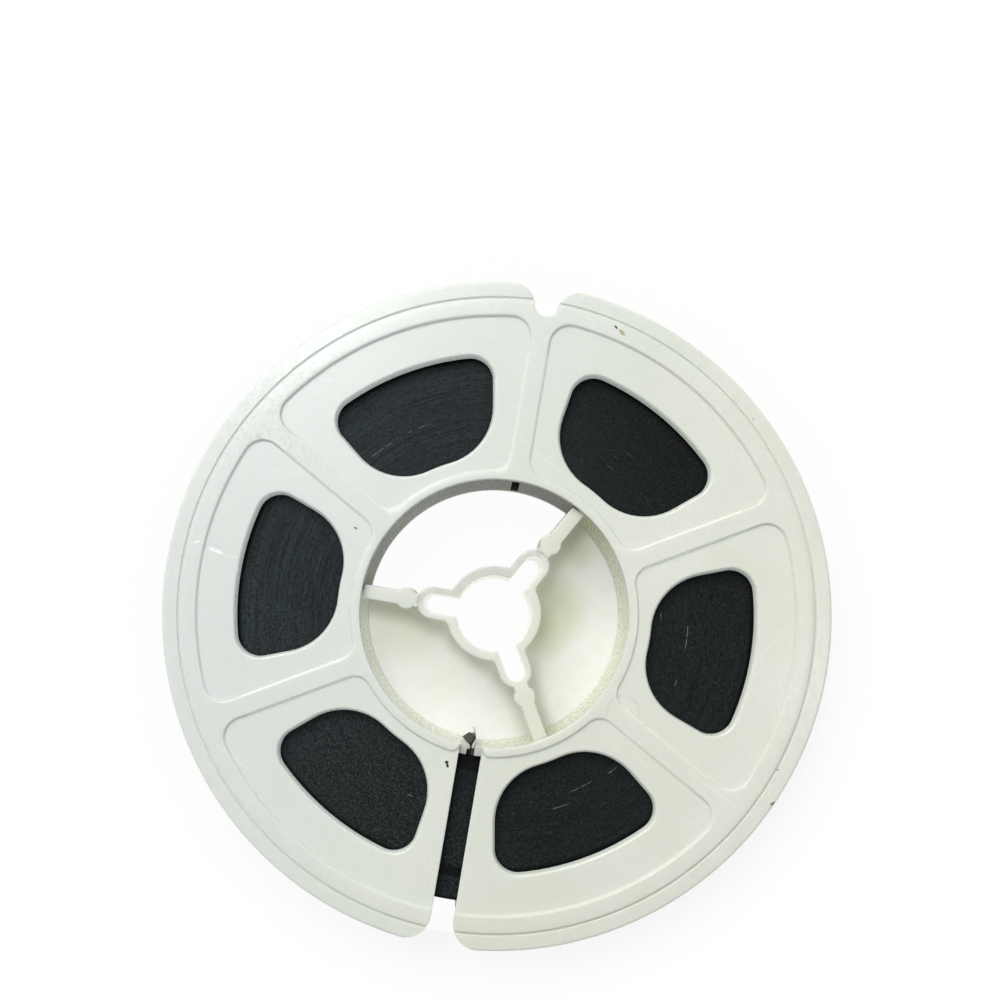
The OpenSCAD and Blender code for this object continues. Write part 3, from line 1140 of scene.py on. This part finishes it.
def set_shader(shader, values):
    """Sets inputs of a shader that are the same all over its surface."""
    for label, value in values.items():
        shader.inputs[label].default_value = value


def plastic(name, pale, warm, soak=0.5, depth=0.8, skin_bump=0.3):
    """Satin white moulded plastic, a little cloudy and scratched, with a painted cool sheen to one
    side.

    Gives the material, its tree, its shader and its colour so far.
    """
    material, tree, shader = new_material(name)
    place = object_place(tree)
    steep = steep_walls(tree)
    level = less(tree, 1.0, steep)
    clouds = use(tree, CLOUDS, Wide_Scale=70.0, Fine_Scale=2400.0)
    colour = tinted(tree, pale, warm, clouds["Clouds"])
    # Painted reflection: towards the left the colour turns cooler, standing in for the bluish light
    # reflected there.
    cool_sheen = (pale[0] * 0.94, pale[1] * 0.965, min(0.83, pale[2] * 1.05))
    side = use(tree, SIDE, Direction=(-0.95, 0.3, 0.0))
    colour = tinted(tree, colour, cool_sheen, side[0])
    darker = tuple(value * 0.86 for value in warm)
    colour = tinted(tree, colour, darker, times(tree, clouds["Grain"], level, 0.6))
    first = use(tree, SCRATCHES, Angle=0.5, Spacing=900.0, Amount=0.5)
    second = use(tree, SCRATCHES, Angle=2.1, Spacing=1200.0, Amount=0.4)
    scratched = times(tree, larger(tree, first[0], second[0]), level)
    colour = tinted(tree, colour, SCRATCHED, times(tree, scratched, 0.35))
    rough = ramp(tree, clouds["Grain"], 0.0, 1.0, 0.22, 0.32)
    rough = math_node(tree, "ADD", rough, times(tree, scratched, 0.12))
    link(tree, rough, shader.inputs["Roughness"])
    skin = less(tree, noise(tree, place, 1500.0, 3.0, 0.6), times(tree, scratched, 0.6))
    link(tree, bumped(tree, skin_bump, 0.03, skin), shader.inputs["Normal"])
    waves = times(tree, noise(tree, place, 800.0, 2.0, 0.6), 1.6)
    dimples = math_node(tree, "ADD", noise(tree, place, 2600.0, 3.0, 0.65), waves)
    link(tree, bumped(tree, skin_bump * 3.3, 0.07, dimples), shader.inputs["Coat Normal"])
    # The walls of the openings keep the light that reaches them
    kept = ramp(tree, steep, 0.0, 1.0, 1.0, 0.1)
    link(tree, times(tree, kept, soak), shader.inputs["Subsurface Weight"])
    constants = {
        "IOR": 1.49,
        "Specular IOR Level": 0.36,
        "Coat Weight": 0.3,
        "Coat Roughness": 0.13,
        "Subsurface Radius": (1.0, 0.95, 0.75),
        "Subsurface Scale": depth * MM,
    }
    set_shader(shader, constants)
    return material, tree, shader, colour


def front_plastic():
    """Plastic of the front flange: its marks, painted dull mottles in the highlight on its rim, and
    faint painted light in its window walls.
    """
    parts = plastic("flange_plastic_front", (0.83, 0.845, 0.77), (0.79, 0.81, 0.71))
    material, tree, shader, colour = parts
    place = object_place(tree)
    for x, y, z, length, width, angle, tone, strength in MARKS:
        spot = use(
            tree,
            SPECK,
            Centre=(x * MM, y * MM, z * MM),
            Length=length * MM,
            Width=width * MM,
            Angle=math.radians(-angle),
        )
        colour = tinted(tree, colour, tone, times(tree, spot[0], strength))
    # Painted reflection: dull mottles break up the highlight on the upper left of the rim.
    sheen_patch = ramp_mm(tree, vector_math(tree, "DISTANCE", place, SHEEN_MOTTLE_CENTRE), 12.0, 3.0, 0.0, 0.45)
    on_top = ramp_mm(tree, axes_of(tree, place)[2], REEL_W - 0.3, REEL_W - 0.22)
    sheen_mottle = ramp(tree, noise(tree, place, 2300.0, 4.0, 0.75), 0.46, 0.62)
    colour = tinted(tree, colour, SHEEN_MOTTLE_DULL, times(tree, sheen_patch, on_top, sheen_mottle))
    pin_at = (16.21 * MM, -8.51 * MM, 0.0)
    pin = use(tree, ROUND_LINE, Centre=pin_at, Radius=1.8 * MM, Width=0.12 * MM)
    colour = tinted(tree, colour, PIN_LINE, times(tree, pin[0], 0.5))
    out = from_axis(tree, place)
    near = times(tree, ramp_mm(tree, out, 16.8, 17.5), ramp_mm(tree, out, 30.6, 30.0))
    glow = tinted(tree, NO_LIGHT, WINDOW_GLOW, times(tree, steep_walls(tree), near))
    link(tree, glow, shader.inputs["Emission Color"])
    link(tree, colour, shader.inputs["Base Color"])
    set_shader(shader, {"Emission Strength": 1.0})
    return material


def rear_plastic():
    """Plastic of the rear flange."""
    parts = plastic("flange_plastic_rear", (0.82, 0.835, 0.75), (0.78, 0.8, 0.69))
    material, tree, shader, colour = parts
    link(tree, colour, shader.inputs["Base Color"])
    return material


def hub_finish():
    """Plastic of the hub, greyer where black film lies behind the drum's wall, with painted shade on
    that wall in the upper sector.
    """
    parts = plastic("hub_plastic_fine", (0.84, 0.85, 0.76), (0.81, 0.82, 0.7), 1.0, 1.6, 0.03)
    material, tree, shader, colour = parts
    place = object_place(tree)
    axes = axes_of(tree, place)
    radius = from_axis(tree, place)
    up = facing(tree)
    wall = ramp_mm(tree, radius, HUB_R - 0.25, HUB_R)
    upper = upper_sector(tree)
    patchy = ramp(tree, noise(tree, place, 420.0, 3.0, 0.6), 0.35, 0.65, 0.85, 1.0)
    # Painted shade: in the upper sector the drum's wall faces away from the light, so it is darkened
    # there, most towards the top.
    dark = times(tree, wall, upper, patchy)
    colour = tinted(tree, colour, WALL_OLIVE, times(tree, wall, 0.6))
    colour = tinted(tree, colour, WALL_SHADE_PAINTED, times(tree, dark, 0.92))
    top = times(tree, dark, ramp_mm(tree, axes[1], 10.0, 15.0, 0.0, 0.7))
    colour = tinted(tree, colour, WALL_TOP_SHADE_PAINTED, top)
    inside = times(tree, ramp_mm(tree, radius, 9.5, 8.0, 0.0, 0.36), upper)
    inside = times(tree, inside, ramp(tree, up, 0.8, 0.95), patchy)
    colour = tinted(tree, colour, SOCKET_GREY, inside)
    # The white ground lights the walls of the bore and its keyways
    along, beside, _ = spoke_fold(tree)
    bore = ramp_mm(tree, radius, BORE_R + 0.11, BORE_R + 0.05)
    across = ramp_mm(tree, beside, KEY_HALF + 0.12, KEY_HALF + 0.05)
    key = times(tree, across, ramp_mm(tree, along, KEY_REACH + 0.15, KEY_REACH + 0.06))
    upright = ramp(tree, unsigned(tree, up), 0.6, 0.3, 0.0, 0.2)
    bore = times(tree, larger(tree, bore, key), upright)
    # Some of the light on the left comes through the drum's wall
    through = times(tree, wall, ramp_mm(tree, axes[0], -6.0, -13.0, 0.0, 0.09))
    through = times(tree, through, less(tree, 1.0, upper))
    glow = tinted(tree, NO_LIGHT, BORE_GLOW, math_node(tree, "ADD", bore, through))
    link(tree, glow, shader.inputs["Emission Color"])
    set_shader(shader, {"Emission Strength": 1.0})
    # Painted shade on the drum's top where it lies sunk in the flange's slit, beside the film's
    # slot.
    slot_at = (0.0, -(HUB_R + 0.65) * MM, 0.0)
    slot_off = vector_math(tree, "SUBTRACT", flat_place(tree, place), slot_at)
    slot_far = vector_math(tree, "LENGTH", slot_off)
    colour = tinted(tree, colour, SLOT_SHADE_PAINTED, ramp_mm(tree, slot_far, 1.6, 1.2, 0.0, 0.75))
    link(tree, colour, shader.inputs["Base Color"])
    return material


def film_finish(name, tone, light, cool_sheen, arcs=(), rough=(0.5, 0.66), curl=None):
    """Black film seen on its edges, turn by turn, with dust and scratches that follow the turns, and
    a painted cool sheen towards the left.
    """
    material, tree, shader = new_material(name)
    place = object_place(tree)
    turns = use(tree, TURNS)
    # Painted sheen: towards the left the film's turns grow paler and bluer, standing in for the
    # light reflected there.
    side = use(tree, SIDE, Direction=(-0.9, 0.44, 0.0), Low=-0.012, High=0.03)
    share = times(tree, side[0], 0.85)
    dark = tinted(tree, tone, tuple(value * 0.15 for value in cool_sheen), share)
    pale = tinted(tree, light, tuple(value * 2.1 for value in cool_sheen), share)
    colour = tinted(tree, dark, pale, turns["Tone"])
    blots = ramp(tree, noise(tree, place, 2200.0, 3.0, 0.7), 0.42, 0.72)
    colour = tinted(tree, colour, FILM_BLOT, times(tree, blots, 0.5))
    shade = use(tree, SIDE, Direction=(0.6, 0.8, 0.0), Low=0.014, High=0.03)
    colour = tinted(tree, colour, FILM_SHADE, times(tree, shade[0], 0.7))
    pits = ramp(tree, noise(tree, place, 3100.0, 2.0, 0.6), 0.5, 0.3)
    colour = tinted(tree, colour, FILM_PIT, times(tree, pits, 0.7))
    motes = ramp(tree, noise(tree, place, 4200.0, 2.0, 0.6), 0.48, 0.66)
    dusty = use(tree, SIDE, Direction=(-0.64, -0.77, 0.0), Low=0.012, High=0.022)
    motes = times(tree, motes, ramp(tree, dusty[0], 0.0, 1.0, 0.25, 0.8))
    edge_on = ramp(tree, unsigned(tree, facing(tree)), 0.3, 0.7, 0.06, 1.0)
    colour = tinted(tree, colour, FILM_MOTE, times(tree, motes, edge_on))
    colour = tinted(tree, colour, FILM_DUST, times(tree, turns["Dust"], 0.45))
    for radius, middle, half, strength in arcs:
        scratch = use(
            tree,
            ARC_SCRATCH,
            Radius=radius * MM,
            Middle=math.radians(middle),
            Half_Sweep=math.radians(half),
        )
        colour = tinted(tree, colour, FILM_SCRATCH, times(tree, scratch[0], strength))
    if arcs:
        # Under the edges of the windows hardly any light gets in
        out = from_axis(tree, place)
        edge = larger(tree, ramp_mm(tree, out, 29.1, 29.5), ramp_mm(tree, out, 18.4, 18.0))
        dim = times(tree, edge, ramp_mm(tree, out, 30.6, 30.2), 0.8)
        colour = tinted(tree, colour, FILM_UNDER, dim)
    if curl:
        # The torn tip is thin enough to let light through
        colour = tinted(tree, colour, FILM_TORN, ramp_mm(tree, axes_of(tree, place)[1], *curl))
    link(tree, colour, shader.inputs["Base Color"])
    link(tree, ramp(tree, turns["Tone"], 0.0, 1.0, *rough), shader.inputs["Roughness"])
    link(tree, bumped(tree, 0.3, 0.04, turns["Height"]), shader.inputs["Normal"])
    set_shader(shader, {"Specular IOR Level": 0.13})
    return material


def spoke_shade(tree):
    """Shade on the floor to the lower right of the spokes and the socket."""
    along, beside, far = spoke_fold(tree, (-0.4 * MM, 0.6 * MM, 0.0))
    half = ramp_mm(tree, along, 6.0, 11.5, 1.8 * MM, 0.9 * MM)
    off_spoke = less(tree, beside, half)
    off_socket = less(tree, far, 5.3 * MM)
    return ramp_mm(tree, math_node(tree, "MINIMUM", off_spoke, off_socket), 2.2, 0.0)


def ground_colour(tree, place, far, shade):
    """Colour of the floor: light that has passed through the hub tints it there."""
    in_hub = ramp_mm(tree, far, 19.0, 16.0)
    tint = tinted(tree, GROUND_OUT, GROUND_IN, ramp_mm(tree, far, 20.0, 14.0))
    for x, y, reach, strength in CREAM_SPOTS:
        off = vector_math(tree, "SUBTRACT", place, (x * MM, y * MM, 0.0))
        near = ramp_mm(tree, vector_math(tree, "LENGTH", off), reach, reach * 0.25)
        tint = tinted(tree, tint, GROUND_CREAM, times(tree, near, strength))
    mottle = ramp(tree, noise(tree, place, 650.0, 4.0, 0.65), 0.4, 0.68, 0.0, 0.3)
    tint = tinted(tree, tint, GROUND_MOTTLE, times(tree, mottle, in_hub))
    return tinted(tree, tint, GROUND_SHADE, times(tree, shade, 0.5))


def ground_finish():
    """The floor, which keeps the shadow near the reel and is white further out."""
    material, tree, shader = new_material("floor_white")
    place = object_place(tree)
    axes = axes_of(tree, place)
    far = vector_math(tree, "LENGTH", place)
    shade = times(tree, spoke_shade(tree), ramp_mm(tree, far, 19.0, 16.0))
    tint = ground_colour(tree, place, far, shade)
    link(tree, tint, shader.inputs["Base Color"])
    set_shader(shader, {"Roughness": 0.7})
    # White of the backdrop in the hub's upper sector and in the bore
    sector = upper_sector(tree)
    along, beside, _ = spoke_fold(tree)
    across = ramp_mm(tree, beside, KEY_HALF + 0.45, KEY_HALF + 0.2)
    keyway = times(tree, across, ramp_mm(tree, along, KEY_REACH + 0.6, KEY_REACH + 0.3))
    bore = larger(tree, keyway, ramp_mm(tree, far, BORE_R + 0.75, BORE_R + 0.35))
    open_ground = larger(tree, sector, bore)
    # Light through the plastic fills the lower sectors, most of all on the left
    left = ramp_mm(tree, axes[0], 2.0, -8.0, 0.4, 0.58)
    left = times(tree, left, less(tree, 1.0, times(tree, shade, 0.6)))
    inner = larger(tree, times(tree, open_ground, 0.96), left)
    inner = times(tree, inner, ramp_mm(tree, far, 22.0, 20.0))
    # White of the backdrop away from the reel, and below the mouths of slit and notch
    mouths = ramp_mm(tree, unsigned(tree, axes[0]), 7.0, 5.0, 0.0, 0.96)
    mouths = times(tree, mouths, ramp_mm(tree, far, 41.5, 38.8))
    outside_reel = larger(tree, ramp_mm(tree, far, 39.0, 50.0, 0.86, 1.0), mouths)
    outside_reel = times(tree, ramp_mm(tree, far, 28.0, 32.0), outside_reel)
    white_share = larger(tree, outside_reel, inner)
    # The camera sees that white, and where light gets in it also lights the reel
    lower = larger(tree, less(tree, 1.0, sector), bore)
    in_hub = times(tree, ramp_mm(tree, far, 18.0, 15.0, 0.0, 0.6), larger(tree, lower, 0.25))
    lit = larger(tree, in_hub, times(tree, mouths, ramp_mm(tree, far, 30.0, 34.0)))
    seen = node(tree, "LightPath").outputs["Is Camera Ray"]
    white = tinted(tree, tint, WHITE, open_ground)
    white = tinted(tree, white, WHITE, ramp_mm(tree, far, 20.0, 30.0))
    glow = node(tree, "Emission", {"Color": white, "Strength": 1.0})
    share = times(tree, white_share, larger(tree, seen, lit))
    mixed = node(tree, "MixShader", {0: share, 1: shader.outputs[0], 2: glow.outputs[0]})
    link(tree, mixed.outputs[0], tree.nodes["Material Output"].inputs["Surface"])
    return material


# Making the reel

front = moulded_flange("front_disc")
soften(front)
take(front)
bpy.ops.object.duplicate()
rear = bpy.context.object
rear.name = "rear_disc"
front.data.transform(Matrix.Translation((0, 0, (REEL_W - FLANGE_T) * MM)))
rear.data.transform(Matrix.Translation((0, 0, FLANGE_T * MM)) @ Matrix.Scale(-1, 4, (0, 0, 1)))
soften(rear)
hub = hub_body()
soften(hub)
wound = wound_film()
outer = last_turn()
tongue = film_tongue()

film_edges = film_finish(
    "film_edges_black",
    tone=(0.0022, 0.0036, 0.0036),
    light=(0.0125, 0.0156, 0.0152),
    cool_sheen=(0.0185, 0.0268, 0.0305),
    arcs=ARCS,
)
film_face = film_finish(
    "film_face_black",
    tone=(0.008, 0.008, 0.0075),
    light=(0.014, 0.014, 0.0125),
    cool_sheen=(0.012, 0.0125, 0.0125),
    rough=(0.16, 0.24),
)
film_torn = film_finish(
    "film_torn_black",
    tone=(0.006, 0.006, 0.0055),
    light=(0.012, 0.012, 0.011),
    cool_sheen=(0.012, 0.012, 0.011),
    rough=(0.45, 0.6),
    curl=(-14.4, -13.7),
)
DRESSED = (
    (front, "front_flange", "flange_plastic", front_plastic()),
    (rear, "rear_flange", "flange_plastic", rear_plastic()),
    (hub, "hub_core", "hub_plastic", hub_finish()),
    (wound, "film_pack", "film_edges", film_edges),
    (outer, "film_outer_turn", "film_face", film_face),
    (tongue, "film_inner_end", "film_face", film_torn),
)
for piece, stands_for, slot, material in DRESSED:
    piece.data.materials.clear()
    piece.data.materials.append(material)
    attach(piece, "root")
    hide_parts(stands_for)

deselect()
bpy.ops.mesh.primitive_grid_add(x_subdivisions=24, y_subdivisions=24, size=3.0)
floor = bpy.context.object
floor.name = "floor"
floor.data.materials.append(ground_finish())

# Light: a broad lamp to the upper left of the picture, two small ones overhead, a pale room
LAMPS = (
    ("window_light", (-0.332, 0.474, 0.69), 0.55, 4.93, (1.0, 0.99, 0.965)),
    ("overhead_left", (-0.222, 0.25, 0.86), 0.13, 1.1, (0.95, 0.98, 1.0)),
    ("overhead_right", (0.33, 0.02, 0.86), 0.1, 0.45, (1.0, 1.0, 0.98)),
)
for name, spot, size, energy, colour in LAMPS:
    bpy.ops.object.light_add(type="AREA", location=spot)
    lamp = bpy.context.object
    lamp.name = name
    lamp.data.shape = "DISK"
    lamp.data.size = size
    lamp.data.energy = energy
    lamp.data.color = colour
    lamp.rotation_euler = (-Vector(spot)).to_track_quat("-Z", "Y").to_euler()

world = bpy.data.worlds.new("room")
bpy.context.scene.world = world
world.use_nodes = True
tree = world.node_tree
back = tree.nodes["Background"]
back.inputs["Color"].default_value = (0.95, 0.98, 1.0, 1.0)
back.inputs["Strength"].default_value = 0.385
white = node(tree, "Background", {"Color": (1, 1, 1, 1), "Strength": 1.0})
path = node(tree, "LightPath")
seen = larger(tree, path.outputs["Is Camera Ray"], path.outputs["Is Transmission Ray"])
both = node(tree, "MixShader", {0: seen, 1: back.outputs[0], 2: white.outputs[0]})
link(tree, both.outputs[0], tree.nodes["World Output"].inputs["Surface"])

# Camera, close above the reel
CAMERA_AT = Vector((-1.14, -2.11, 146.84)) * MM
CAMERA_AIM = Vector((-6.113, 1.911, 11.6)) * MM
PICTURE_UP = Vector((-0.16779, 0.98518, 0.03547))
bpy.ops.object.camera_add(location=CAMERA_AT)
camera = bpy.context.object
camera.name = "camera"
back_axis = (CAMERA_AT - CAMERA_AIM).normalized()
right_axis = PICTURE_UP.cross(back_axis).normalized()
up_axis = back_axis.cross(right_axis)
camera.rotation_euler = Matrix((right_axis, up_axis, back_axis)).transposed().to_euler()
camera.data.sensor_width = 36.0
camera.data.lens = 42.88
camera.data.shift_x = 0.0563
camera.data.shift_y = 0.0874
camera.data.clip_start = 0.01
camera.data.clip_end = 20.0
bpy.context.scene.camera = camera

bpy.context.scene.view_settings.view_transform = "Standard"
